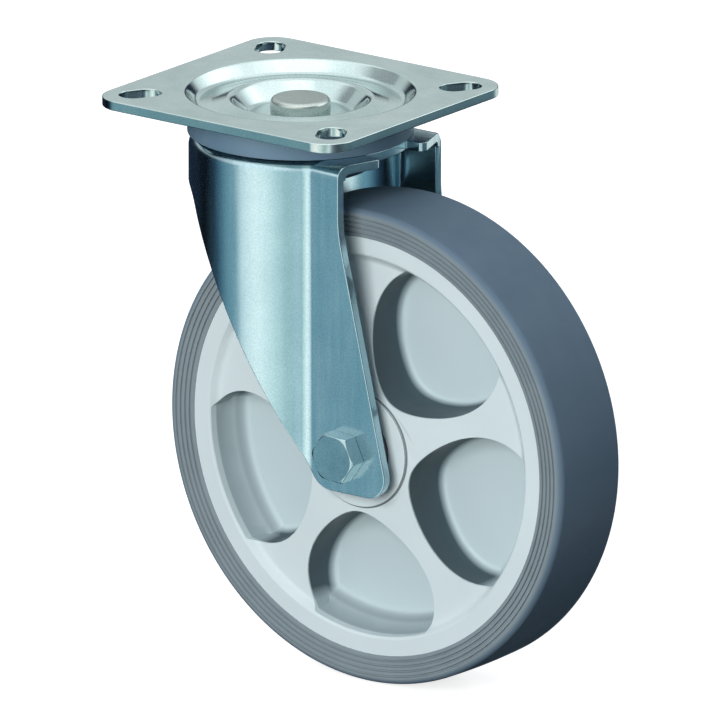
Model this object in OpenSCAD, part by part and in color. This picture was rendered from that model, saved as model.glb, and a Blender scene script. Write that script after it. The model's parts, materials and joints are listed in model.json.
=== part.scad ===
// Swivel castor with a slotted top plate, a pressed steel fork and a grooved rubber tyre.
// The origin is on the swivel axis at the top plate's upper face. X is the direction the wheel
// trails in, Y is the axle's direction, and Z is up.

/* [Top plate] */
// Distance between slot centres along X
slot_span_x = 97.2; // [94:0.2:110]
// Distance between slot centres along Y
slot_span_y = 86.8; // [84:0.2:100]
// Distance along X from a slot's centre to the plate's edge
slot_edge_x = 13.4; // [12:0.1:18]
// Distance along Y from a slot's centre to the plate's edge
slot_edge_y = 16.1; // [13:0.1:20]
// Width of a slot, for M10 bolts
slot_wid = 11.5; // [10.5:0.5:13]
// Distance between the centres of a slot's two round ends
slot_run = 6; // [3:0.5:7]
// Angle of the slots to the X axis
slot_angle = 60; // [40:1:70]
// Thickness of the plate's sheet
plate_t = 4; // [3.5:0.5:5]
// Radius of the plate's corners
plate_corner_r = 12.5; // [8:0.5:14]

/* [Swivel head] */
// Depth of the dish's outer trough
dish_depth = 5.4; // [4.8:0.1:6]
// Depth of the crest between the trough and the kingpin's well
crest_depth = 2.7; // [2:0.1:3.5]
// Depth of the well that the kingpin's head sits in
well_depth = 10; // [9:0.5:11]
// Diameter of the kingpin's head
pin_head_d = 24.5; // [20:0.5:27]
// Height of the kingpin's head
pin_head_h = 7.1; // [5:0.1:8]
// Diameter of the kingpin's shank
pin_d = 14; // [12:1:16]
// Width across flats of the kingpin's nut
pin_nut_af = 22; // [20:1:24]
// Height of the kingpin's nut
pin_nut_h = 8; // [6:0.5:9]
// Diameter of the upper balls
upper_ball_d = 9; // [8:0.2:10]
// Distance from the crown's bend in to the circle of the upper balls
upper_track_in = 5.5; // [5:0.5:7]
// Diameter of the lower balls
lower_ball_d = 7; // [6:0.5:8]
// Radius of the circle that the lower balls run on
lower_track_r = 24; // [22:0.5:26]
// Thickness of the lower race under its balls
race_t = 4; // [3:0.5:5]
// Radial width of the seal ring
seal_wid = 3; // [2.5:0.5:3.5]

/* [Fork] */
// Thickness of the fork's sheet
fork_t = 4; // [3:0.5:4.5]
// Outer radius of the crown
crown_r = 45.5; // [44:0.5:48]
// Radius of the hollow between the round front and a flat leg
hollow_r = 8; // [6:0.5:10]
// Outer radius of the bend between crown and leg
crown_bend_r = 6; // [5.5:0.5:7]
// Width of the cut-out between the crown's two rear horns
horn_gap = 27.6; // [20:0.2:32]
// Distance that the horns reach behind the legs' rear edges
horn_len = 7.2; // [5:0.1:10]
// Distance from the swivel axis to a leg's rear edge at the crown
leg_rear_x = 45.5; // [43:0.5:48]
// Distance from the crown down to where a leg's rear edge starts to slope
leg_knee = 24; // [18:1:30]
// Level of the crown's front rim below the plate's upper face
front_rim_depth = 37.5; // [34:0.5:40]
// Distance from the swivel axis forward to where a leg's front edge leaves the front rim
leg_front_x = 29; // [26:0.5:32]
// Distance from the axle forward to a leg's front edge, at the leg's lower edge
foot_front = 12.4; // [12:0.1:18]
// Distance from the axle back to a leg's rear edge, at the leg's lower edge
foot_rear = 23.5; // [18:0.1:26]
// Distance from the axle down to the legs' lower edge
leg_below = 16.2; // [15:0.2:20]

/* [Wheel] */
// Diameter of the wheel
wheel_d = 200; // [180:1:220]
// Distance from the crown's underside to the top of the tyre
tyre_gap = 16.8; // [15.5:0.1:22]
// Distance from the swivel axis back to the axle
trail = 47.8; // [45:0.2:50]
// Width of the tyre
tyre_wid = 41; // [36:1:46]
// Thickness of the tyre from the rim to the tread
tyre_depth = 12.3; // [11:0.1:15]
// Number of grooves on each side of the tyre
groove_n = 4; // [2:1:4]
// Distance of the rim's side in from the tyre's side
rim_inset = 1.5; // [1:0.1:2.5]
// Thickness of the rim under the tyre
rim_t = 7.2; // [6:0.1:9]
// Thickness of the spoked disc
spoke_t = 32; // [28:1:33]
// Thickness of the web at the pockets' floors
web_t = 5; // [4:0.5:8]
// Diameter of the hub boss
hub_d = 48; // [44:1:50]
// Length of the hub
hub_len = 50; // [48:0.5:54]
// Number of pockets on each side
pocket_n = 5; // [4:1:5]
// Distance from the axle to a pocket's centre
pocket_at = 57.5; // [53:0.5:58]
// Width of a spoke at its neck between two pockets
spoke_neck = 5; // [4:0.1:9]
// Angle of the first pocket, from +X towards +Z
pocket_turn = 55; // [0:1:72]

/* [Axle] */
// Diameter of the axle bolt
bolt_d = 12; // [10:1:12]
// Width across flats of the bolt's head and nut
bolt_af = 19; // [18:1:20]
// Height of the bolt's head
bolt_head_h = 7.5; // [6:0.5:9]
// Height of the nut's hexagon
nut_hex_h = 8.5; // [7:0.5:10]
// Height of the nut with its collar
nut_h = 12; // [11:0.5:13]
// Outer diameter of the axle tube
tube_d = 20; // [19:0.5:21]
// Diameter of a roller
roller_d = 3.9; // [3:0.1:4.5]
// Length of a roller
roller_len = 36; // [30:1:38]
// Number of rollers
roller_n = 12; // [8:1:12]

/* [Hidden] */
$fn = 96;

// Clearances and tool sizes
run_gap = 0.05;
slip_gap = 0.1;
free_gap = 0.3;
eps = 0.01;
far = 300;
// Just over the ratio of a hexagon's corner radius to its width across flats
hex_tip = 0.58;

// Top plate
plate_len = slot_span_x + 2 * slot_edge_x;
plate_wid = slot_span_y + 2 * slot_edge_y;
seal_out = 0.5;
dish_clear = 0.8;
dish_r = crown_r + seal_out + dish_clear;
dish_land = 4;
dish_wall = 4.3;
dish_wall_low = 6;
trough_rise = 0.8;
press_r = 3;
dish_rim_r = 1.4;
upper_track_r = crown_r - crown_bend_r - upper_track_in;
track_land = 2;
crest_in = 5.5;
crest_r = upper_track_r - crest_in;
well_wall = 7;
well_r = crest_r - well_wall;
well_step = 1.5;
crest_thin = 0.4;

// Levels of the swivel head, all below the plate's upper face
plate_groove = 0.25;
crown_groove = 0.65;
lower_groove = 0.25;
crown_top = trough_rise - dish_depth - plate_t + plate_groove - upper_ball_d + crown_groove;
crown_low = crown_top - fork_t;
well_low = -well_depth - plate_t;
upper_ball_z = crown_top + upper_ball_d / 2 - crown_groove;
lower_ball_z = crown_low - lower_ball_d / 2 + lower_groove;
race_top = lower_ball_z - lower_ball_d / 2 + lower_groove;
race_low = race_top - race_t;
pin_end = 2;
pin_low = race_low - pin_nut_h - pin_end;
pin_chamfer = 1.2;
thread_chamfer = 1;
nut_chamfer = 0.9;

// Lower race and seal
race_r = lower_track_r + 4.5;
race_lip_t = 1.6;
race_lip_gap = 1;
race_edge_r = 2.5;
race_collar_t = 4;
race_collar_r = pin_d / 2 + race_collar_t;
crown_hole_gap = 3;
ball_gap = 0.15;
seal_top = -plate_t - 2.2;
seal_slope_h = 3;
seal_lip = 0.9;
seal_edge_r = 0.3;

// Fork
axle_z = crown_low - tyre_gap - wheel_d / 2;
leg_low = axle_z - leg_below;
bend_z = crown_top - crown_bend_r;
crown_flange = 6;
split_drop = 0.5;
split = bend_z - split_drop;
horn_x = leg_rear_x + horn_len;
horn_root = 1;
horn_tip_r = 2.5;
knee_r = 60;
rim_hollow_r = 12;
foot_front_r = 11;
foot_rear_r = 9;

// In plan the round front, the hollow and the flat leg meet where a ray of slope 4 to 3 crosses them
meet = [0.6, -0.8];
hollow_at = (crown_r + hollow_r) * meet;
leg_half = -hollow_at[1] - hollow_r;
leg_inner = leg_half - fork_t;

// Axle
bolt_turn = 55.3;
bolt_chamfer = 1;
bolt_chamfer_r = 0.3;
bolt_end = 2;
insert_wall = 1.6;
collar_inset = 0.6;
collar_lip = 0.8;
collar_r = 1.2;
hub_bore_r = tube_d / 2 + roller_d + 2 * run_gap;
roller_at = tube_d / 2 + roller_d / 2 + run_gap;
cage_wall = 1.3;
cage_end = 3;
washer_r = hub_bore_r + 2;
washer_t = leg_inner - hub_len / 2 - free_gap;

// Wheel
tread_r = wheel_d / 2;
rim_r = tread_r - tyre_depth;
rim_half = tyre_wid / 2 - rim_inset;
rim_inner = rim_r - rim_t;
rim_slope = 3;
rim_edge_r = 1.5;
rim_blend_r = 4;
hub_edge_r = 1;
key_half = 9;
key_slope = 2;
key_depth = 3.5;
pocket_r = pocket_at * sin(180 / pocket_n) - spoke_neck / 2;
pocket_foot = 3.5;
pocket_foot_h = 4.5;
pocket_draft_low = 0.8;
pocket_draft_top = 0.4;
pocket_floor_r = 2;
pocket_rim_gap = 8;
pocket_hub_gap = 2.6;
tyre_foot = 0.3;
tyre_edge_r = 3;
tread_rise = 0.4;
tread_shoulder = 5;
tread_flat = 3;
groove_first = 2;
groove_land = 4;
groove_pitch = (tyre_depth - groove_first - groove_land) / (groove_n - 1);
groove_r = 0.45;

// Points of an arc of radius r that rounds the corner p between its neighbours a and b
function unit(v) = v / norm(v);
function arc_turn(d) = d > 180 ? d - 360 : d < -180 ? d + 360 : d;
function corner(a, p, b, r, n) =
    let (u = unit(a - p), v = unit(b - p), half = acos(u * v) / 2,
         c = p + unit(u + v) * r / sin(half),
         s = p + u * r / tan(half) - c,
         e = p + v * r / tan(half) - c,
         start = atan2(s[1], s[0]), turn = arc_turn(atan2(e[1], e[0]) - start))
    [for (i = [0:n]) c + r * [cos(start + turn * i / n), sin(start + turn * i / n)]];
function flat2(p) = [p[0], p[1]];
// An outline given as [x, y, corner radius] points, with its corners rounded
function rounded(pts, n = 6) =
    [for (i = [0:len(pts) - 1])
        let (k = len(pts), a = flat2(pts[(i + k - 1) % k]), p = flat2(pts[i]), b = flat2(pts[(i + 1) % k]))
        each (pts[i][2] > 0 ? corner(a, p, b, pts[i][2], n) : [p])];

// A half outline carried on to its mirror image in Y
function both_sides(pts) = concat(pts, [for (i = [len(pts) - 1:-1:0]) [pts[i][0], -pts[i][1], pts[i][2]]]);

// Places children at the wheel's axle, with their Z along the axle and +Z on the near side
module at_axle() {
    translate([trail, 0, axle_z]) rotate([90, 0, 0]) children();
}

// Top plate: rounded sheet with four slots and a pressed dish
module slot_outline() {
    for (s = [-1, 1]) translate([s * slot_run / 2, 0]) circle(d = slot_wid);
    square([slot_run, slot_wid], center = true);
}

module plate_outline() {
    difference() {
        union() {
            square([plate_len - 2 * plate_corner_r, plate_wid], center = true);
            square([plate_len, plate_wid - 2 * plate_corner_r], center = true);
            for (sx = [-1, 1], sy = [-1, 1])
                translate([sx * (plate_len / 2 - plate_corner_r), sy * (plate_wid / 2 - plate_corner_r)])
                    circle(r = plate_corner_r);
        }
        circle(r = dish_r + dish_land);
        for (sx = [-1, 1], sy = [-1, 1])
            translate([sx * slot_span_x / 2, sy * slot_span_y / 2]) rotate(sx * sy * slot_angle) slot_outline();
    }
}

module dish_section() {
    difference() {
        polygon(rounded([
            [dish_r + dish_land + eps, 0, 0], [dish_r, 0, dish_rim_r], [dish_r - dish_wall, -dish_depth, press_r],
            [upper_track_r + track_land, -dish_depth + trough_rise, press_r + 1], [crest_r, -crest_depth, press_r],
            [well_r, -well_depth, press_r], [pin_d / 2 + slip_gap, -well_depth, 0],
            [pin_d / 2 + slip_gap, well_low, 0], [well_r - well_step, well_low, 2 * press_r],
            [crest_r - well_step, -crest_depth - plate_t - crest_thin, press_r / 3],
            [upper_track_r + track_land - 0.5, -dish_depth - plate_t + trough_rise, press_r - 1],
            [dish_r - dish_wall_low, -dish_depth - plate_t, press_r + 2],
            [dish_r - seal_out - dish_clear, -plate_t, press_r / 2],
            [dish_r + dish_land + eps, -plate_t, 0]]));
        translate([upper_track_r, upper_ball_z]) circle(d = upper_ball_d + 2 * run_gap);
    }
}

module top_plate() {
    color([0.72, 0.76, 0.76]) {
        translate([0, 0, -plate_t]) linear_extrude(plate_t) plate_outline();
        rotate_extrude() dish_section();
    }
}

// Kingpin: headed pin through plate and fork
module kingpin() {
    head_r = pin_head_d / 2;
    head_top = pin_head_h - well_depth;
    color([0.74, 0.76, 0.78])
        rotate_extrude()
            polygon([[0, pin_low], [pin_d / 2 - thread_chamfer, pin_low], [pin_d / 2, pin_low + thread_chamfer],
                     [pin_d / 2, -well_depth], [head_r, -well_depth], [head_r, head_top - pin_chamfer],
                     [head_r - pin_chamfer, head_top], [0, head_top]]);
}

module hex_nut(af, h, bore) {
    tip = hex_tip * af;
    difference() {
        intersection() {
            cylinder(d = af / cos(30), h = h, $fn = 6);
            rotate_extrude()
                polygon([[0, 0], [af / 2, 0], [tip, nut_chamfer], [tip, h - nut_chamfer], [af / 2, h], [0, h]]);
        }
        translate([0, 0, -1]) cylinder(d = bore, h = h + 2);
    }
}

module kingpin_nut() {
    color([0.70, 0.72, 0.74])
        translate([0, 0, race_low - pin_nut_h]) hex_nut(pin_nut_af, pin_nut_h, pin_d + 2 * run_gap);
}

// Lower race: flanged bush that carries the lower balls
module lower_race() {
    color([0.66, 0.68, 0.70])
        rotate_extrude()
            difference() {
                polygon(rounded([
                    [pin_d / 2 + slip_gap, race_low, 0], [race_r + race_lip_t, race_low, race_edge_r],
                    [race_r + race_lip_t, crown_low - race_lip_gap, race_lip_t / 3],
                    [race_r, crown_low - race_lip_gap, race_lip_t / 3], [race_r, race_top, race_edge_r - 1],
                    [race_collar_r, race_top, race_edge_r - 1], [race_collar_r, well_low, 0],
                    [pin_d / 2 + slip_gap, well_low, 0]]));
                translate([lower_track_r, lower_ball_z]) circle(d = lower_ball_d + 2 * run_gap);
            }
}

module ball_ring(at, z, d) {
    n = floor(360 / (2 * asin((d + ball_gap) / 2 / at)));
    for (i = [0:n - 1]) rotate(i * 360 / n) translate([at, 0, z]) sphere(d = d, $fn = 32);
}

module upper_balls() {
    color([0.80, 0.80, 0.82]) ball_ring(upper_track_r, upper_ball_z, upper_ball_d);
}

module lower_balls() {
    color([0.80, 0.80, 0.82]) ball_ring(lower_track_r, lower_ball_z, lower_ball_d);
}

// Swivel seal: plastic ring that closes the gap between plate and crown
module swivel_seal() {
    outer = crown_r + seal_out;
    color([0.42, 0.52, 0.62])
        rotate_extrude()
            polygon(rounded([
                [outer - seal_wid, crown_top, 0], [outer, crown_top, seal_edge_r], [outer, seal_top, 2 * seal_edge_r],
                [outer - seal_lip, seal_top, seal_edge_r],
                [outer - seal_wid, seal_top - seal_slope_h, seal_edge_r]], 4));
}

// Fork: one pressed sheet with a round crown, two legs and two rear horns
// Section of the sheet from the crown over the bend and down the wall, whose outside is at x = at
module crown_section(at, side) {
    bend_x = at - side * crown_bend_r;
    intersection() {
        translate([bend_x, bend_z]) difference() {
            circle(r = crown_bend_r);
            circle(r = crown_bend_r - fork_t);
        }
        translate([min(at, bend_x), bend_z]) square(crown_bend_r);
    }
    translate([min(bend_x, bend_x - side * crown_flange), crown_low]) square([crown_flange, fork_t]);
    translate([min(at, at - side * fork_t), leg_low - 1]) square([fork_t, bend_z - leg_low + 1]);
}

module crown_round() {
    intersection() {
        rotate_extrude() crown_section(crown_r, 1);
        translate([0, 0, -far]) linear_extrude(far) polygon([[0, 0], [-far, 0], [-far, -far], far * meet]);
    }
}

module crown_hollow() {
    intersection() {
        translate(hollow_at) rotate_extrude() crown_section(hollow_r, -1);
        translate([0, 0, -far]) linear_extrude(far) polygon([[0, 0], hollow_at, [hollow_at[0], 0]]);
    }
}

module crown_flat() {
    translate([hollow_at[0], 0, 0]) rotate([90, 0, 90]) linear_extrude(far) crown_section(-leg_half, -1);
}

module crown_disc() {
    inner = crown_bend_r + crown_flange / 2;
    translate([0, 0, crown_low]) linear_extrude(fork_t) {
        circle(r = crown_r - inner);
        translate([0, inner - leg_half]) square([far, 2 * (leg_half - inner)]);
    }
}

module fork_sheet() {
    crown_disc();
    for (m = [0, 1]) mirror([0, m, 0]) {
        crown_round();
        crown_hollow();
        crown_flat();
    }
}

// Plan outline of the crown with its horns
module crown_plan() {
    polygon(rounded(both_sides([
        [-far, far, 0], [leg_rear_x, far, 0], [leg_rear_x, leg_half - horn_root, 0],
        [horn_x, horn_gap / 2, horn_tip_r], [0, horn_gap / 2, 0]])));
    circle(r = crown_r);
}

// Side outline of the legs in X and Z
module leg_side() {
    rim = -front_rim_depth;
    rotate([90, 0, 0]) translate([0, 0, -far]) linear_extrude(2 * far)
        polygon(rounded([
            [-far, far, 0], [-far, rim, 0], [-leg_front_x, rim, rim_hollow_r],
            [trail - foot_front, leg_low, foot_front_r], [trail + foot_rear, leg_low, foot_rear_r],
            [leg_rear_x, crown_low - leg_knee, knee_r], [leg_rear_x, far, 0]], 8));
}

module fork() {
    color([0.66, 0.76, 0.80])
        difference() {
            union() {
                intersection() {
                    fork_sheet();
                    translate([0, 0, split]) linear_extrude(far) crown_plan();
                }
                intersection() {
                    fork_sheet();
                    leg_side();
                    translate([-far, -far, split - far]) cube([2 * far, 2 * far, far]);
                }
            }
            translate([0, 0, crown_low - 1]) cylinder(r = race_collar_r + crown_hole_gap, h = fork_t + 2);
            rotate_extrude() {
                translate([upper_track_r, upper_ball_z]) circle(d = upper_ball_d + 2 * run_gap);
                translate([lower_track_r, lower_ball_z]) circle(d = lower_ball_d + 2 * run_gap);
            }
            at_axle() cylinder(r = bolt_d / 2 + run_gap, h = 2 * far, center = true);
        }
}

// Axle bolt, nut, tube and washers
module axle_bolt() {
    tip = hex_tip * bolt_af;
    reach = leg_half + nut_h + bolt_end;
    color([0.74, 0.80, 0.82])
        at_axle() {
            translate([0, 0, leg_half]) rotate(bolt_turn) intersection() {
                cylinder(d = bolt_af / cos(30), h = bolt_head_h, $fn = 6);
                rotate_extrude()
                    polygon([[0, 0], [far, 0], [far, bolt_head_h - bolt_chamfer], [tip, bolt_head_h - bolt_chamfer],
                             [bolt_af / 2 - bolt_chamfer_r, bolt_head_h], [0, bolt_head_h]]);
            }
            translate([0, 0, -reach]) cylinder(d = bolt_d, h = reach + leg_half + eps);
        }
}

module axle_nut() {
    insert_r = bolt_d / 2 + insert_wall;
    collar_out = bolt_af / 2 - collar_inset;
    color([0.72, 0.76, 0.78])
        at_axle() translate([0, 0, -leg_half]) mirror([0, 0, 1]) {
            hex_nut(bolt_af, nut_hex_h, bolt_d + 2 * run_gap);
            rotate_extrude()
                polygon(rounded([
                    [insert_r, nut_hex_h - eps, 0], [collar_out, nut_hex_h - eps, 0],
                    [collar_out, nut_h, collar_r], [bolt_d / 2 + collar_lip, nut_h, 0],
                    [bolt_d / 2 + collar_lip, nut_h - collar_lip, 0], [insert_r, nut_h - collar_lip, 0]], 4));
        }
}

module nut_insert() {
    color([0.86, 0.88, 0.90])
        at_axle() translate([0, 0, -leg_half]) mirror([0, 0, 1])
            translate([0, 0, nut_hex_h]) difference() {
                cylinder(r = bolt_d / 2 + insert_wall, h = nut_h - nut_hex_h - collar_lip);
                translate([0, 0, -1]) cylinder(d = bolt_d + 2 * run_gap, h = nut_h);
            }
}

module axle_tube() {
    color([0.68, 0.70, 0.72])
        at_axle() difference() {
            cylinder(d = tube_d, h = 2 * leg_inner, center = true);
            cylinder(d = bolt_d + 2 * slip_gap, h = far, center = true);
        }
}

module thrust_washers() {
    color([0.20, 0.21, 0.22])
        at_axle() for (m = [0, 1]) mirror([0, 0, m])
            translate([0, 0, leg_inner - washer_t]) difference() {
                cylinder(r = washer_r, h = washer_t);
                translate([0, 0, -1]) cylinder(r = tube_d / 2 + slip_gap, h = washer_t + 2);
            }
}

// Wheel centre: hub, spoked disc with pockets, and rim
module centre_section() {
    polygon(rounded(both_sides([
        [hub_bore_r, hub_len / 2, 0], [hub_d / 2, hub_len / 2, hub_edge_r], [hub_d / 2, spoke_t / 2, hub_edge_r],
        [rim_inner - rim_slope, spoke_t / 2, rim_blend_r], [rim_inner, rim_half, rim_edge_r],
        [rim_r, rim_half, 0], [rim_r, key_half + key_slope, 0], [rim_r - key_depth, key_half, 0]])));
}

// Outline of one pocket's side wall, from its floor outwards
module pocket_cut() {
    floor_z = web_t / 2;
    top_z = 1.5 * rim_half;
    rotate_extrude()
        polygon(rounded([
            [0, floor_z, 0], [pocket_r - pocket_foot, floor_z, pocket_floor_r],
            [pocket_r - pocket_draft_low, floor_z + pocket_foot_h, 0], [pocket_r + pocket_draft_top, top_z, 0],
            [0, top_z, 0]]));
}

module pocket_limit() {
    floor_z = web_t / 2;
    top_z = rim_half + 1;
    rotate_extrude()
        polygon(rounded([
            [hub_d / 2 + pocket_hub_gap, floor_z, pocket_floor_r],
            [rim_inner - pocket_rim_gap, floor_z, pocket_floor_r + 1], [rim_inner - 2, floor_z + 6, 0],
            [rim_inner - 0.5, top_z, 0], [hub_d / 2 + pocket_hub_gap / 2, top_z, 0]]));
}

module wheel_centre() {
    color([0.80, 0.85, 0.86])
        at_axle() difference() {
            rotate_extrude() centre_section();
            for (m = [0, 1], i = [0:pocket_n - 1]) mirror([0, 0, m]) intersection() {
                rotate(pocket_turn + i * 360 / pocket_n) translate([pocket_at, 0, 0]) pocket_cut();
                pocket_limit();
            }
        }
}

// Tyre: grooved rubber ring keyed into the rim
module tyre_section() {
    side = tyre_wid / 2;
    foot = rim_half + tyre_foot;
    side_top = tread_r - tyre_edge_r;
    difference() {
        polygon(rounded(both_sides([
            [rim_r - key_depth, key_half, 0], [rim_r, key_half + key_slope, 0], [rim_r, foot, tyre_foot],
            [side_top, side, tyre_edge_r], [tread_r - tread_rise, side - tread_shoulder, 2 * tyre_edge_r],
            [tread_r, tread_flat, 0]])));
        for (m = [-1, 1], i = [0:groove_n - 1])
            let (r = rim_r + groove_first + i * groove_pitch,
                 s = foot + (side - foot) * (r - rim_r) / (side_top - rim_r))
                translate([r, m * s]) circle(r = groove_r, $fn = 16);
    }
}

module tyre() {
    color([0.47, 0.52, 0.56])
        at_axle() rotate_extrude() tyre_section();
}

// Roller bearing in the hub
module roller_cage() {
    color([0.16, 0.17, 0.18])
        at_axle() difference() {
            cylinder(r = roller_at + cage_wall, h = roller_len + 2 * cage_end, center = true);
            cylinder(r = roller_at - cage_wall, h = far, center = true);
            for (i = [0:roller_n - 1]) rotate(i * 360 / roller_n) translate([roller_at, 0, 0])
                cylinder(r = roller_d / 2 + slip_gap, h = roller_len + 2 * slip_gap, center = true);
        }
}

module rollers() {
    color([0.80, 0.80, 0.82])
        at_axle() for (i = [0:roller_n - 1]) rotate(i * 360 / roller_n) translate([roller_at, 0, 0])
            cylinder(d = roller_d, h = roller_len, center = true);
}

top_plate();
kingpin();
kingpin_nut();
lower_race();
upper_balls();
lower_balls();
swivel_seal();
fork();
axle_bolt();
axle_nut();
nut_insert();
axle_tube();
thrust_washers();
wheel_centre();
tyre();
roller_cage();
rollers();
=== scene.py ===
"""Swivel castor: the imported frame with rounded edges, a grooved tyre, and a finish on every piece.

The part's sizes and the camera's place are in millimetres, and are turned into metres where they are used.
The lamps and the floor are in metres.
"""

import json
import math

import bmesh
import bpy
from mathutils import Matrix, Vector


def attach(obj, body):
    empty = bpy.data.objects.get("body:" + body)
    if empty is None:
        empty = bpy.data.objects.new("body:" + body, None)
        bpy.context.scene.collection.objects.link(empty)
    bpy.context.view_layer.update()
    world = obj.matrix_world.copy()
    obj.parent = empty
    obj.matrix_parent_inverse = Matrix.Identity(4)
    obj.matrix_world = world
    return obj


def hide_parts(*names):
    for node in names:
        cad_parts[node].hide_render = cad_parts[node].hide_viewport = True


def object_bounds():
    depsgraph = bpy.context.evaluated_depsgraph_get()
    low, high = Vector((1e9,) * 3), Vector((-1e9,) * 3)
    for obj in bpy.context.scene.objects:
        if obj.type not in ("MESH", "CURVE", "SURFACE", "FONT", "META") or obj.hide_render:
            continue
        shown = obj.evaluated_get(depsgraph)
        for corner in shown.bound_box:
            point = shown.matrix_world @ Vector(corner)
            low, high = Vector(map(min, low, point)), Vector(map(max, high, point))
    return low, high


MM = 0.001

# Camera, as fitted to the photograph
CAMERA_AZIMUTH = 37.15
CAMERA_ELEVATION = 16.5
CAMERA_DISTANCE = 9747
CAMERA_TARGET = (25.0, 0.0, -110.0)
TARGET_RIGHT = 4.217
TARGET_UP = 0.29
CAMERA_LENS = 1200
SENSOR_SIDE = 36
CAMERA_REACH_M = 100

# Wheel centre: the crown is what the spokes' faces rise by, and the step is the margin round the hub's edge
RIM_R = 87.7
RIM_HALF = 19.0
SPOKE_HALF = 16.0
WEB_HALF = 2.5
HUB_R = 24.0
HUB_HALF = 25.0
HUB_STEP = 1.1
CROWN_R = 77.0
CROWN_LIFT = 8.0

# Pockets: their circles in the solids, then their width at the circles' middle and its taper for each mm
POCKET_N = 5
POCKET_TURN = 55
POCKET_AT = 57.5
POCKET_R = 32.0
POCKET_WIDTH = 0.985
POCKET_TAPER = 0.0055
POCKET_END = 83.0

# Tyre; an arc is its start and end in degrees, and its steps
TREAD_R = 100.0
TREAD_RISE = 0.4
TREAD_CURVE = 0.9
TREAD_STEPS = 24
TYRE_HALF = 20.5
TYRE_EDGE_R = 3.0
TYRE_EDGE_ARC = (84, 6, 10)
TYRE_FOOT = 0.3
TYRE_FOOT_ARC = (180, 96, 4)
TYRE_SIDES = 288
TYRE_SHARP_ANGLE = 60
KEY_HALF = 9.0
KEY_SLOPE = 2.0
KEY_DEPTH = 3.5
GROOVE_FIRST = 2.0
GROOVE_PITCH = 2.1
GROOVE_N = 4
GROOVE_HALF = 0.5
GROOVE_DEPTH = 0.85
GROOVE_CURVE = 3
GROOVE_STEPS = 6

# Rounding of the CAD edges: width, smallest angle that counts as an edge, and steps
SHEET_EDGE = (0.45, 38, 3)
PRESSED_EDGE = (0.7, 38, 3)
MOULD_EDGE = (0.6, 38, 3)
TURNED_EDGE = (0.3, 30, 2)
WELD_GAP = 0.0005
FLAT_ANGLE = 0.2
SHARP_ANGLE = 50

ROUNDED = {
    "top_plate": SHEET_EDGE,
    "fork": SHEET_EDGE,
    "kingpin": PRESSED_EDGE,
    "kingpin_nut": TURNED_EDGE,
    "axle_nut": TURNED_EDGE,
    "axle_bolt": TURNED_EDGE,
    "lower_race": TURNED_EDGE,
    "swivel_seal": TURNED_EDGE,
    "wheel_centre": MOULD_EDGE,
}
UNCHANGED = (
    "upper_balls",
    "lower_balls",
    "nut_insert",
    "axle_tube",
    "thrust_washers",
    "roller_cage",
    "rollers",
)

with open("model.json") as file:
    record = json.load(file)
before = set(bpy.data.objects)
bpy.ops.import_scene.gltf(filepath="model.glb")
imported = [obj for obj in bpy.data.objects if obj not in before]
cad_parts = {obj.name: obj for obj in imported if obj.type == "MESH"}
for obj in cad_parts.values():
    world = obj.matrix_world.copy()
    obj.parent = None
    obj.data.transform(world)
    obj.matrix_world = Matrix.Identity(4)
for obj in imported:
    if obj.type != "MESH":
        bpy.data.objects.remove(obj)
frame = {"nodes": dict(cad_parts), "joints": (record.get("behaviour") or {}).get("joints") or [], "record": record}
cad_low, cad_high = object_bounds()
nodes = frame["nodes"]
body_of_node = {n: body for body, names in frame["record"]["behaviour"]["bodies"].items() for n in names}
slot_of_node = {row["node"]: row["material_slot"] for row in frame["record"]["subparts"]}
wheel_joint = next(j for j in frame["joints"] if j["name"] == "wheel_spin")
AXLE = Vector(wheel_joint["pos_m"])

# Shader nodes, for the materials, the world and the floor
WHITE = (1.0, 1.0, 1.0, 1.0)
MIX_FACTOR = 0
MIX_FIRST = 6
MIX_SECOND = 7
MIX_RESULT = 2


def feed(tree, source, socket):
    """Links a node's output to a socket, or writes a plain value into the socket."""
    if isinstance(source, bpy.types.NodeSocket):
        tree.links.new(source, socket)
    else:
        socket.default_value = source


def operate(tree, kind, operation, *operands):
    """A Math or Vector Math node over links or plain values."""
    node = tree.nodes.new(kind)
    node.operation = operation
    for socket, operand in zip(node.inputs, operands):
        feed(tree, operand, socket)
    return node


def span(tree, value, limits, results=(0.0, 1.0), how="LINEAR"):
    """Maps a value from two limits to two results, and holds it beyond them."""
    node = tree.nodes.new("ShaderNodeMapRange")
    node.interpolation_type = how
    for end, limit, result in zip(("Min", "Max"), limits, results):
        node.inputs["From " + end].default_value = limit
        node.inputs["To " + end].default_value = result
    tree.links.new(value, node.inputs["Value"])
    return node.outputs["Result"]


def ramp(tree, value, stops):
    """Colours along a value, from (position, colour) stops."""
    node = tree.nodes.new("ShaderNodeValToRGB")
    elements = node.color_ramp.elements
    while len(elements) < len(stops):
        elements.new(0.5)
    for element, (position, colour) in zip(elements, stops):
        element.position = position
        element.color = colour
    tree.links.new(value, node.inputs["Fac"])
    return node.outputs["Color"]


def mix(tree, factor, first, second, how="MIX"):
    """Blends two colours; each of the three may be a link or a plain value."""
    node = tree.nodes.new("ShaderNodeMix")
    node.data_type = "RGBA"
    node.blend_type = how
    for place, source in ((MIX_FACTOR, factor), (MIX_FIRST, first), (MIX_SECOND, second)):
        feed(tree, source, node.inputs[place])
    return node.outputs[MIX_RESULT]


def coloured(tree, kind, colour):
    """A shader of one kind, with a colour that may be a link or a plain value."""
    node = tree.nodes.new(kind)
    feed(tree, colour, node.inputs["Color"])
    return node.outputs[0]


def by_ray(tree, ray, usual, chosen):
    """The chosen shader for one kind of ray, and the usual one for the others."""
    rays = tree.nodes.new("ShaderNodeLightPath")
    node = tree.nodes.new("ShaderNodeMixShader")
    for socket, source in zip(node.inputs, (rays.outputs[ray], usual, chosen)):
        tree.links.new(source, socket)
    return node.outputs["Shader"]


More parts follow.
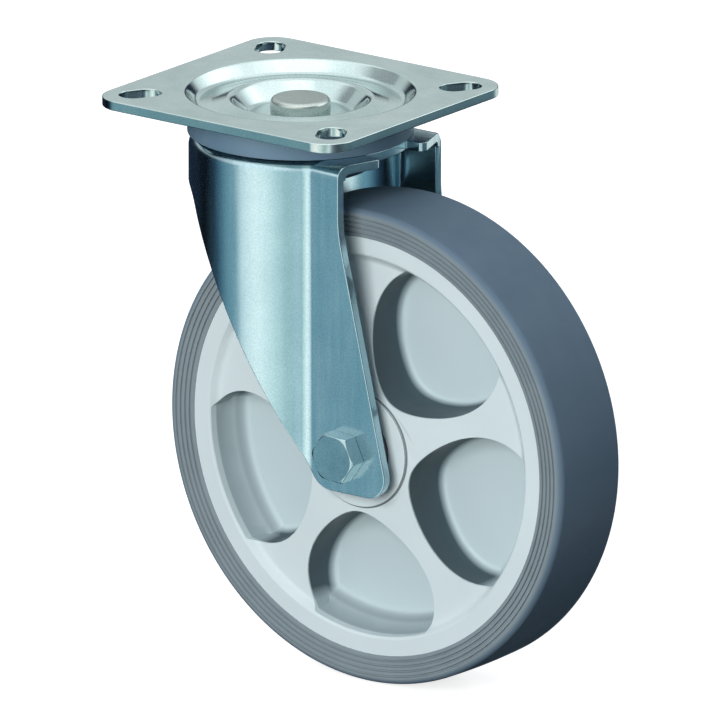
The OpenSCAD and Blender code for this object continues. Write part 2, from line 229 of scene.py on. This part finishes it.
# Materials
NOISE_BAND = (0.3, 0.7)
GRAIN_DEPTH = 0.02
ACROSS_AXLE = (1, 0, 1)


def srgb(r, g, b):
    """A colour read as 0 to 255 sRGB values, as the linear values that a shader takes."""
    def linear(value):
        value = value / 255
        return value / 12.92 if value <= 0.04045 else ((value + 0.055) / 1.055) ** 2.4
    return (linear(r), linear(g), linear(b), 1.0)


class Finish:
    """A principled material with short calls for the nodes that drive it."""

    def __init__(self, name, metallic=0.0, roughness=0.5, **settings):
        self.material = bpy.data.materials.new(name)
        self.material.use_nodes = True
        self.tree = self.material.node_tree
        self.shader = self.tree.nodes["Principled BSDF"]
        self.shader.inputs["Metallic"].default_value = metallic
        self.shader.inputs["Roughness"].default_value = roughness
        for socket, value in settings.items():
            self.shader.inputs[socket.replace("_", " ")].default_value = value
        self.place = self.tree.nodes.new("ShaderNodeTexCoord").outputs["Object"]

    def noise(self, scale, detail=3.0, rough=0.5, stretch=None):
        """Noise in object space, which a stretch scales along each axis by itself."""
        place = self.place
        if stretch:
            mapping = self.tree.nodes.new("ShaderNodeMapping")
            mapping.inputs["Scale"].default_value = stretch
            self.tree.links.new(place, mapping.inputs["Vector"])
            place = mapping.outputs["Vector"]
        node = self.tree.nodes.new("ShaderNodeTexNoise")
        node.inputs["Scale"].default_value = scale
        node.inputs["Detail"].default_value = detail
        node.inputs["Roughness"].default_value = rough
        self.tree.links.new(place, node.inputs["Vector"])
        return node.outputs["Fac"]

    def tones(self, noise, dark, light):
        """Colours between a dark and a light sRGB colour, as the noise varies."""
        return ramp(self.tree, noise, [(NOISE_BAND[0], srgb(*dark)), (NOISE_BAND[1], srgb(*light))])

    def spread(self, noise, low, high):
        """Values between a low and a high one, as the noise varies."""
        return span(self.tree, noise, NOISE_BAND, (low, high))

    def within(self, distance, limits, results):
        """Maps a distance between two limits in millimetres to two results."""
        return span(self.tree, distance, [limit * MM for limit in limits], results)

    def blend(self, factor, first, second, how="MIX"):
        return mix(self.tree, factor, first, second, how)

    def maths(self, operation, *operands):
        return operate(self.tree, "ShaderNodeMath", operation, *operands).outputs["Value"]

    def vectors(self, operation, *operands):
        return operate(self.tree, "ShaderNodeVectorMath", operation, *operands)

    def about_axle(self):
        """Distance from the axle's line, and distance from the wheel's middle plane."""
        shift = self.vectors("SUBTRACT", self.place, AXLE).outputs["Vector"]
        flat = self.vectors("MULTIPLY", shift, ACROSS_AXLE).outputs["Vector"]
        parts = self.tree.nodes.new("ShaderNodeSeparateXYZ")
        self.tree.links.new(shift, parts.inputs["Vector"])
        return self.vectors("LENGTH", flat).outputs["Value"], self.maths("ABSOLUTE", parts.outputs["Y"])

    def colour(self, source):
        self.tree.links.new(source, self.shader.inputs["Base Color"])

    def roughness(self, source):
        self.tree.links.new(source, self.shader.inputs["Roughness"])

    def bump(self, height, strength, depth=GRAIN_DEPTH):
        node = self.tree.nodes.new("ShaderNodeBump")
        node.inputs["Strength"].default_value = strength
        node.inputs["Distance"].default_value = depth * MM
        self.tree.links.new(height, node.inputs["Height"])
        self.tree.links.new(node.outputs["Normal"], self.shader.inputs["Normal"])


# Zinc: noise in waves a metre, and how far the roughness varies
ZINC_CLOUDS = 28
ZINC_SPECKS = 1500
ZINC_SPECK_TONE = (0.90, 1.06)
ZINC_GRAIN = 900
ZINC_ROUGH_LESS = 0.05
ZINC_ROUGH_MORE = 0.06


def zinc(name, dark, light, rough, grain, streak):
    """Zinc-plated steel: cloudy colour, fine grain, and rolling streaks along the sheet."""
    f = Finish(name, metallic=1.0)
    clouds = f.tones(f.noise(ZINC_CLOUDS, detail=4.0, rough=0.6), dark, light)
    specks = f.spread(f.noise(ZINC_SPECKS, detail=2.0), *ZINC_SPECK_TONE)
    f.colour(f.blend(1.0, clouds, specks, "MULTIPLY"))
    streaks = f.noise(1.0, detail=4.0, rough=0.6, stretch=streak)
    f.roughness(f.spread(streaks, rough - ZINC_ROUGH_LESS, rough + ZINC_ROUGH_MORE))
    f.bump(f.maths("ADD", f.noise(ZINC_GRAIN), streaks), grain)
    return f.material


# Moulded plastic
PLASTIC_IOR = 1.49
PLASTIC_CLOUDS = 22
PLASTIC_PATCHES = 90
PLASTIC_ROUGH_SWING = 0.05
PLASTIC_GRAIN = 900


def moulded(name, dark, light, rough, grain, grain_scale=PLASTIC_GRAIN):
    """A moulded plastic's finish and its own colour: slight clouds and a fine eroded grain."""
    f = Finish(name, roughness=rough, IOR=PLASTIC_IOR)
    f.roughness(f.spread(f.noise(PLASTIC_PATCHES), rough - PLASTIC_ROUGH_SWING, rough + PLASTIC_ROUGH_SWING))
    f.bump(f.noise(grain_scale, detail=2.0), grain)
    return f, f.tones(f.noise(PLASTIC_CLOUDS), dark, light)


def plastic(name, dark, light, rough, grain):
    f, colour = moulded(name, dark, light, rough, grain)
    f.colour(colour)
    return f.material


# Wheel plastic: painted shade below the spokes' faces and on the pockets' walls, and a painted shade line round
# the boss
WHEEL_DARK = (206, 219, 221)
WHEEL_LIGHT = (212, 225, 227)
WHEEL_ROUGH = 0.46
WHEEL_GRAIN = 0.12
WHEEL_GRAIN_SCALE = 700
# Painted shade on the pocket floors, below the spokes' faces: its colour, its share, and the depths over which it
# comes in
POCKET_FLOOR_SHADE = (176, 196, 200)
POCKET_FLOOR_SHADE_SHARE = 0.6
POCKET_FLOOR_SHADE_BELOW = (0.3, 1.1)
# Painted shade on the pockets' walls: its colour, its share, the heights above the web over which it comes in, and
# its share and width on the rim's side
WALL_SHADE = (34, 56, 66)
WALL_SHADE_SHARE = 0.93
WALL_ABOVE_WEB = (0.7, 3.5)
RIM_WALL_SHADE_SHARE = 0.32
RIM_WALL_WIDTH = 4.0
# Painted shade line round the boss, on the step at the hub's edge: its colour, its share, and where it starts and
# ends outside the hub
BOSS_SHADE_LINE = (60, 70, 76)
BOSS_SHADE_SHARE = 0.85
BOSS_SHADE_START = (-0.1, 0.1)
BOSS_SHADE_END = (0.6, 0.9)


def wheel_plastic(name):
    """The wheel's plastic, with painted shade on the pocket floors and walls and a painted shade line round the
    boss.
    """
    f, clean = moulded(name, WHEEL_DARK, WHEEL_LIGHT, WHEEL_ROUGH, WHEEL_GRAIN, WHEEL_GRAIN_SCALE)
    r, depth = f.about_axle()
    face = f.within(r, (HUB_R, CROWN_R), ((SPOKE_HALF + CROWN_LIFT) * MM, SPOKE_HALF * MM))
    # Painted shade: the pocket floors darken below the spokes' faces
    sunk = f.within(f.maths("SUBTRACT", face, depth), POCKET_FLOOR_SHADE_BELOW, (0.0, 1.0))
    shaded_floors = f.blend(f.maths("MULTIPLY", sunk, POCKET_FLOOR_SHADE_SHARE), clean, srgb(*POCKET_FLOOR_SHADE))
    # Painted shade on the pockets' walls, with less of it on the rim's side
    wall = f.within(depth, [WEB_HALF + above for above in WALL_ABOVE_WEB], (0.0, WALL_SHADE_SHARE))
    side = f.within(r, (CROWN_R - RIM_WALL_WIDTH, CROWN_R), (1.0, RIM_WALL_SHADE_SHARE))
    dark = f.maths("MULTIPLY", f.maths("MULTIPLY", sunk, wall), side)
    shaded = f.blend(dark, shaded_floors, srgb(*WALL_SHADE))
    # Painted shade line round the boss
    inner = f.within(r, [HUB_R + step for step in BOSS_SHADE_START], (0.0, BOSS_SHADE_SHARE))
    outer = f.within(r, [HUB_R + step for step in BOSS_SHADE_END], (1.0, 0.0))
    f.colour(f.blend(f.maths("MULTIPLY", inner, outer), shaded, srgb(*BOSS_SHADE_LINE)))
    return f.material


# Tyre rubber
RUBBER_IOR = 1.52
RUBBER_SPECULAR = 0.15
RUBBER_CLOUDS = 30
RUBBER_DARK = (124, 136, 142)
RUBBER_LIGHT = (134, 147, 152)
RUBBER_ROUGH = 0.55
RUBBER_ROUGH_BAND = (0.50, 0.64)
RUBBER_PATCHES = 120
RUBBER_GRAIN = 0.25
RUBBER_GRAIN_SCALE = 1100
RUBBER_GRAIN_DEPTH = 0.03
# Tread colours: painted shade, darker and bluer than the sides; the scuffs vary them
TREAD_SHADED_DARK = (96, 116, 132)
TREAD_SHADED_LIGHT = (109, 130, 146)
SCUFFS = 14
SCUFF_STRETCH = (1, 0.35, 1)


def rubber(name):
    """Tyre rubber: matt, with painted shade that makes the tread darker and bluer than the sides, and faint scuffs
    on the tread.
    """
    f = Finish(name, roughness=RUBBER_ROUGH, IOR=RUBBER_IOR, Specular_IOR_Level=RUBBER_SPECULAR)
    clean = f.tones(f.noise(RUBBER_CLOUDS, detail=4.0, rough=0.6), RUBBER_DARK, RUBBER_LIGHT)
    scuffs = f.noise(SCUFFS, detail=5.0, rough=0.6, stretch=SCUFF_STRETCH)
    r = f.about_axle()[0]
    tread = f.within(r, (TREAD_R - TYRE_EDGE_R, TREAD_R - TYRE_EDGE_R / 2), (0.0, 1.0))
    # Painted shade: the tread is darker and bluer than the sides; the scuffs on it are wear
    f.colour(f.blend(tread, clean, f.tones(scuffs, TREAD_SHADED_DARK, TREAD_SHADED_LIGHT)))
    f.roughness(f.spread(f.noise(RUBBER_PATCHES), *RUBBER_ROUGH_BAND))
    f.bump(f.noise(RUBBER_GRAIN_SCALE), RUBBER_GRAIN, RUBBER_GRAIN_DEPTH)
    return f.material


# Metals: dark and light colour, roughness, grain, and the streaks' waves a metre along X, Y and Z
METALS = {
    "plate_zinc": ((168, 185, 185), (188, 202, 202), 0.12, 0.18, (60, 60, 60)),
    "fork_zinc": ((160, 188, 198), (176, 202, 210), 0.18, 0.18, (260, 260, 22)),
    "pin_zinc": ((156, 166, 162), (172, 181, 178), 0.28, 0.30, (80, 80, 500)),
    "bolt_zinc": ((150, 176, 184), (172, 196, 202), 0.17, 0.26, (120, 120, 120)),
    "bearing_steel": ((206, 208, 212), (216, 218, 222), 0.12, 0.02, (60, 60, 60)),
}
# Small plastics: dark and light colour, roughness and grain
PLASTICS = {
    "seal_plastic": ((96, 122, 141), (106, 132, 151), 0.42, 0.12),
    "insert_plastic": ((222, 226, 228), (232, 236, 238), 0.40, 0.10),
    "dark_plastic": ((34, 36, 38), (42, 44, 46), 0.45, 0.15),
}
MATERIALS = {name: zinc(name, *look) for name, look in METALS.items()}
MATERIALS.update({name: plastic(name, *look) for name, look in PLASTICS.items()})
MATERIALS["wheel_plastic"] = wheel_plastic("wheel_plastic")
MATERIALS["tyre_rubber"] = rubber("tyre_rubber")


# Pieces
def dress(piece, slot, body, *replaced):
    """Gives a piece its finish and body, and hides the CAD nodes that it stands for."""
    piece.data.materials.clear()
    piece.data.materials.append(MATERIALS[slot])
    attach(piece, body)
    if replaced:
        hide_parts(*replaced)


def new_object(name, data):
    made = bpy.data.objects.new(name, data)
    bpy.context.scene.collection.objects.link(made)
    return made


def shade(mesh, angle=SHARP_ANGLE):
    """Smooth shading that breaks only at edges sharper than the angle, in degrees."""
    mesh.shade_smooth()
    mesh.set_sharp_from_angle(angle=math.radians(angle))


def clamp(value):
    """The value, held between 0 and 1."""
    return min(1, max(0, value))


# CAD nodes with rounded edges
def taper_pockets(bm):
    """Draws the pockets in towards the hub and widens them at the rim; spokes and rim slide along."""
    pitch = 2 * math.pi / POCKET_N
    for vert in bm.verts:
        place = (vert.co - AXLE) / MM
        r = math.hypot(place.x, place.z)
        if not HUB_R + HUB_STEP < r < RIM_R:
            continue
        turn = math.atan2(place.z, place.x) - math.radians(POCKET_TURN)
        offset = turn - pitch * round(turn / pitch)
        cosine = (r * r + POCKET_AT ** 2 - POCKET_R ** 2) / (2 * r * POCKET_AT)
        outline = math.acos(max(-1, min(1, cosine)))
        near = clamp((pitch / 2 - abs(offset)) / (pitch / 2 - outline))
        fade = clamp((RIM_R - r) / (RIM_R - POCKET_END))
        wider = POCKET_WIDTH + POCKET_TAPER * (min(r, POCKET_END) - POCKET_AT) - 1
        angle = math.atan2(place.z, place.x) + offset * wider * near * fade
        vert.co.x = AXLE.x + r * math.cos(angle) * MM
        vert.co.z = AXLE.z + r * math.sin(angle) * MM


def crown_spokes(bm):
    """Lifts the spokes' faces towards the hub, so that the boss stands only a little proud of them."""
    for vert in bm.verts:
        place = (vert.co - AXLE) / MM
        r, height = math.hypot(place.x, place.z), abs(place.y)
        lift = CROWN_LIFT * clamp((CROWN_R - r) / (CROWN_R - HUB_R))
        if r < HUB_R + HUB_STEP and height > SPOKE_HALF:
            share = clamp((HUB_HALF - height) / (HUB_HALF - SPOKE_HALF))
        else:
            share = clamp((height - WEB_HALF) / (SPOKE_HALF - WEB_HALF))
        if r > HUB_R - HUB_STEP:
            vert.co.y += math.copysign(lift * share * MM, place.y)


def rounded_copy(node, edge):
    """Adds a copy of a CAD node whose sharp edges are rounded, which stands for the node."""
    width, angle, steps = edge
    limit = math.radians(angle)
    bm = bmesh.new()
    bm.from_mesh(nodes[node].data)
    bmesh.ops.remove_doubles(bm, verts=bm.verts, dist=WELD_GAP * MM)
    bmesh.ops.dissolve_limit(bm, angle_limit=math.radians(FLAT_ANGLE), verts=bm.verts, edges=bm.edges)
    sharp = [e for e in bm.edges if len(e.link_faces) == 2 and e.calc_face_angle(0) > limit]
    bmesh.ops.bevel(bm, geom=sharp, offset=width * MM, offset_type="OFFSET", segments=steps, profile=0.5,
                    affect="EDGES", clamp_overlap=True, harden_normals=False)
    if node == "wheel_centre":
        taper_pockets(bm)
        crown_spokes(bm)
    mesh = bpy.data.meshes.new(node + "_rounded")
    bm.to_mesh(mesh)
    bm.free()
    shade(mesh)
    piece = new_object(node + "_rounded", mesh)
    weighted = piece.modifiers.new("weighted", "WEIGHTED_NORMAL")
    weighted.keep_sharp = True
    dress(piece, slot_of_node[node], body_of_node[node], node)


for node, edge in ROUNDED.items():
    rounded_copy(node, edge)


# Tyre
def lathe(name, outline, sides):
    """A ring with the given closed (radius, height) outline, turned about the wheel's axle."""
    bm = bmesh.new()
    rows = []
    for i in range(sides):
        turn = 2 * math.pi * i / sides
        rows.append([bm.verts.new(AXLE + Vector((r * math.cos(turn), h, r * math.sin(turn))) * MM)
                     for r, h in outline])
    for i in range(sides):
        here, there = rows[i], rows[(i + 1) % sides]
        for k in range(len(outline)):
            n = (k + 1) % len(outline)
            bm.faces.new((here[k], here[n], there[n], there[k]))
    bmesh.ops.recalc_face_normals(bm, faces=bm.faces)
    mesh = bpy.data.meshes.new(name)
    bm.to_mesh(mesh)
    bm.free()
    return mesh


def arc(cx, cy, r, start, end, steps):
    """Points of an arc about (cx, cy), from its start to its end in degrees."""
    return [(cx + r * math.cos(math.radians(start + (end - start) * i / steps)),
             cy + r * math.sin(math.radians(start + (end - start) * i / steps))) for i in range(steps + 1)]


def tyre_side():
    """Outline of the tyre's +Y half, from its key in the rim out to the middle of the tread."""
    foot = RIM_HALF + TYRE_FOOT
    slope = (TYRE_HALF - foot) / (TREAD_R - TYRE_EDGE_R - RIM_R)
    points = [(RIM_R - KEY_DEPTH, KEY_HALF), (RIM_R, KEY_HALF + KEY_SLOPE), (RIM_R, foot - TYRE_FOOT)]
    points += arc(RIM_R + TYRE_FOOT, foot - TYRE_FOOT, TYRE_FOOT, *TYRE_FOOT_ARC)
    for i in range(GROOVE_N):
        r = RIM_R + GROOVE_FIRST + i * GROOVE_PITCH
        for k in range(-GROOVE_STEPS, GROOVE_STEPS + 1):
            share = k / GROOVE_STEPS
            depth = GROOVE_DEPTH * (1 - abs(share) ** GROOVE_CURVE)
            at = r + GROOVE_HALF * share
            points.append((at, foot + slope * (at - RIM_R) - depth))
    points += arc(TREAD_R - TREAD_RISE - TYRE_EDGE_R, TYRE_HALF - TYRE_EDGE_R, TYRE_EDGE_R, *TYRE_EDGE_ARC)
    edge_r, edge_half = points[-1]
    for i in range(1, TREAD_STEPS + 1):
        share = i / TREAD_STEPS
        rise = math.sin(share * math.pi / 2) ** TREAD_CURVE
        points.append((edge_r + (TREAD_R - edge_r) * rise, edge_half * (1 - share)))
    return points


def make_tyre():
    half = tyre_side()
    outline = half + [(r, -h) for r, h in reversed(half[:-1])]
    mesh = lathe("tyre_moulded", outline, TYRE_SIDES)
    shade(mesh, TYRE_SHARP_ANGLE)
    dress(new_object("tyre_moulded", mesh), "tyre_rubber", "wheel", "tyre")


make_tyre()

# Hidden and small nodes keep their CAD shape
for node in UNCHANGED:
    nodes[node].data.materials.clear()
    nodes[node].data.materials.append(MATERIALS[slot_of_node[node]])


# Camera
def place_camera():
    a, e = math.radians(CAMERA_AZIMUTH), math.radians(CAMERA_ELEVATION)
    right = Vector((math.cos(a), math.sin(a), 0))
    ahead = Vector((-math.sin(a) * math.cos(e), math.cos(a) * math.cos(e), -math.sin(e)))
    up = right.cross(ahead)
    target = Vector(CAMERA_TARGET) + TARGET_RIGHT * right + TARGET_UP * up
    data = bpy.data.cameras.new("camera")
    data.lens = CAMERA_LENS
    data.sensor_width = SENSOR_SIDE
    data.clip_end = CAMERA_REACH_M
    camera = new_object("camera", data)
    turn = Matrix((right, up, -ahead)).transposed()
    camera.matrix_world = Matrix.Translation((target - CAMERA_DISTANCE * ahead) * MM) @ turn.to_4x4()
    bpy.context.scene.camera = camera


place_camera()

# Studio: a white world, with bright and dark panels for reflections and a plain fill for matt surfaces.
# Azimuths go from -180 to 180 degrees, with 0 at +X and 90 at +Y. A height is the Z of a direction.
HORIZON = [
    (-180, (0.008, 0.010, 0.013)),
    (-160, (0.008, 0.014, 0.022)),
    (-150, (0.03, 0.07, 0.12)),
    (-141, (0.15, 0.30, 0.39)),
    (-133, (0.29, 0.50, 0.58)),
    (-124, (0.28, 0.49, 0.57)),
    (-115, (1.35, 1.39, 1.34)),
    (-98, (1.72, 1.66, 1.55)),
    (-80, (1.20, 1.32, 1.24)),
    (-68, (0.72, 0.90, 0.88)),
    (-58, (0.70, 0.88, 0.90)),
    (-48, (1.30, 1.38, 1.38)),
    (-36, (0.30, 0.37, 0.42)),
    (-15, (0.08, 0.10, 0.13)),
    (22, (0.05, 0.07, 0.09)),
    (80, (0.04, 0.06, 0.09)),
    (110, (0.02, 0.035, 0.06)),
    (145, (0.015, 0.025, 0.045)),
]
GROUND = [
    (-150, (0.03, 0.07, 0.12)),
    (-20, (0.10, 0.13, 0.16)),
    (20, (0.18, 0.27, 0.31)),
    (50, (0.15, 0.24, 0.29)),
    (64, (0.26, 0.40, 0.45)),
    (78, (0.90, 0.98, 0.96)),
    (94, (1.20, 1.22, 1.17)),
    (108, (0.34, 0.46, 0.50)),
    (122, (0.04, 0.07, 0.11)),
    (150, (0.015, 0.025, 0.045)),
]
SKY = [
    (-180, (0.55, 0.58, 0.60)),
    (-150, (0.60, 0.63, 0.65)),
    (-130, (1.20, 1.22, 1.20)),
    (-115, (1.60, 1.61, 1.58)),
    (-75, (1.52, 1.54, 1.51)),
    (-40, (0.70, 0.73, 0.75)),
    (10, (0.30, 0.34, 0.38)),
    (32, (2.20, 2.30, 2.30)),
    (66, (2.20, 2.30, 2.30)),
    (90, (0.80, 0.86, 0.88)),
    (115, (0.86, 0.93, 0.93)),
    (140, (0.86, 0.93, 0.93)),
]
CEILING = [
    (-180, (1.50, 1.56, 1.56)),
    (-110, (1.70, 1.76, 1.76)),
    (-85, (2.20, 2.25, 2.25)),
    (-20, (2.20, 2.25, 2.25)),
    (20, (1.70, 1.76, 1.76)),
    (90, (1.50, 1.56, 1.56)),
]
SIDE_FILL = [
    (-180, (0.42, 0.44, 0.46)),
    (-90, (0.36, 0.39, 0.42)),
    (-62, (0.40, 0.43, 0.46)),
    (-42, (0.46, 0.49, 0.53)),
    (-18, (0.38, 0.40, 0.43)),
    (30, (0.30, 0.33, 0.37)),
    (70, (0.34, 0.37, 0.41)),
    (120, (0.44, 0.46, 0.48)),
]
TOP_FILL = [
    (-180, (0.50, 0.54, 0.57)),
    (-60, (0.22, 0.26, 0.32)),
    (60, (0.16, 0.20, 0.26)),
]
GROUND_END = (-0.34, -0.28)
GROUND_DROP = (-0.20, -0.12)
GROUND_TURN = (-36, 0)
SKY_RISE = (0.15, 0.29)
CEILING_RISE = (0.62, 0.80)
FILL_RISE = (0.0, 0.75)


def direction(tree):
    """A ray's azimuth, from 0 at -180 degrees to 1 at 180 degrees, and its height."""
    place = tree.nodes.new("ShaderNodeTexCoord")
    parts = tree.nodes.new("ShaderNodeSeparateXYZ")
    tree.links.new(place.outputs["Generated"], parts.inputs["Vector"])
    angle = operate(tree, "ShaderNodeMath", "ARCTAN2", parts.outputs["Y"], parts.outputs["X"])
    return span(tree, angle.outputs["Value"], (-math.pi, math.pi)), parts.outputs["Z"]


def turned(azimuth):
    """An azimuth in degrees as a share of the turn that starts at -180 degrees."""
    return (azimuth + 180) / 360


def around(tree, turn, stops):
    """Colours by azimuth, from (degrees, colour) stops."""
    return ramp(tree, turn, [(turned(azimuth), (*colour, 1.0)) for azimuth, colour in stops])


def rising(tree, height, limits, low, high):
    """Mixes two colours as the direction rises through the limits of height."""
    return mix(tree, span(tree, height, limits, how="SMOOTHSTEP"), low, high)


def studio_panels(tree, turn, height):
    """What metal reflects: panels at the horizon, the ground, the sky and the ceiling."""
    horizon = around(tree, turn, HORIZON)
    far_side = span(tree, turn, [turned(azimuth) for azimuth in GROUND_TURN])
    ground = mix(tree, far_side, horizon, around(tree, turn, GROUND))
    panels = rising(tree, height, GROUND_END, horizon, ground)
    panels = rising(tree, height, GROUND_DROP, panels, horizon)
    panels = rising(tree, height, SKY_RISE, panels, around(tree, turn, SKY))
    return rising(tree, height, CEILING_RISE, panels, around(tree, turn, CEILING))


def make_world():
    world = bpy.data.worlds.new("studio")
    bpy.context.scene.world = world
    world.cycles.sampling_method = "NONE"
    world.use_nodes = True
    tree = world.node_tree
    tree.nodes.clear()
    turn, height = direction(tree)
    panels = studio_panels(tree, turn, height)
    fill = rising(tree, height, FILL_RISE, around(tree, turn, SIDE_FILL), around(tree, turn, TOP_FILL))
    light = coloured(tree, "ShaderNodeBackground", WHITE)
    light = by_ray(tree, "Is Glossy Ray", light, coloured(tree, "ShaderNodeBackground", panels))
    light = by_ray(tree, "Is Diffuse Ray", light, coloured(tree, "ShaderNodeBackground", fill))
    output = tree.nodes.new("ShaderNodeOutputWorld")
    tree.links.new(light, output.inputs["Surface"])


make_world()

# Lamps: place, side and power in watts; reflections don't show them
LAMP_AIM = Vector((0.03, 0.0, -0.1))
LAMPS = {
    "key": ((0.50, -1.90, 0.50), 1.1, 36),
    "back": ((-0.15, 1.95, 0.2), 1.1, 30),
    "top": ((-0.3, 0.2, 1.6), 1.4, 3),
}


def soft_lamp(name, place, side, power):
    data = bpy.data.lights.new(name, "AREA")
    data.shape = "SQUARE"
    data.size = side
    data.energy = power
    lamp = new_object(name, data)
    lamp.location = place
    lamp.rotation_mode = "QUATERNION"
    lamp.rotation_quaternion = (LAMP_AIM - Vector(place)).to_track_quat("-Z", "Y")
    lamp.visible_glossy = False


for name, (place, side, power) in LAMPS.items():
    soft_lamp(name, place, side, power)

# Floor: pale, keeps the shadow, and lets metal see the studio under the horizon
FLOOR_SIDE = 60.0
FLOOR_PALE = (0.62, 0.62, 0.61, 1.0)
FLOOR_LIFT = 0.76
FLOOR_BOUNCE = (0.06, 0.06, 0.06, 1.0)


def floor_material():
    material = bpy.data.materials.new("floor")
    material.use_nodes = True
    tree = material.node_tree
    tree.nodes.clear()
    lift = tree.nodes.new("ShaderNodeEmission")
    lift.inputs["Strength"].default_value = FLOOR_LIFT
    pale = tree.nodes.new("ShaderNodeAddShader")
    tree.links.new(coloured(tree, "ShaderNodeBsdfDiffuse", FLOOR_PALE), pale.inputs[0])
    tree.links.new(lift.outputs["Emission"], pale.inputs[1])
    bounce = coloured(tree, "ShaderNodeBsdfDiffuse", FLOOR_BOUNCE)
    shader = by_ray(tree, "Is Camera Ray", bounce, pale.outputs["Shader"])
    shader = by_ray(tree, "Is Glossy Ray", shader, coloured(tree, "ShaderNodeBsdfTransparent", WHITE))
    output = tree.nodes.new("ShaderNodeOutputMaterial")
    tree.links.new(shader, output.inputs["Surface"])
    return material


def make_floor():
    half, low = FLOOR_SIDE / 2, cad_low.z
    mesh = bpy.data.meshes.new("floor")
    corners = [(-half, -half, low), (half, -half, low), (half, half, low), (-half, half, low)]
    mesh.from_pydata(corners, [], [(0, 1, 2, 3)])
    floor = new_object("floor", mesh)
    mesh.materials.append(floor_material())


make_floor()

bpy.context.scene.view_settings.view_transform = "Standard"
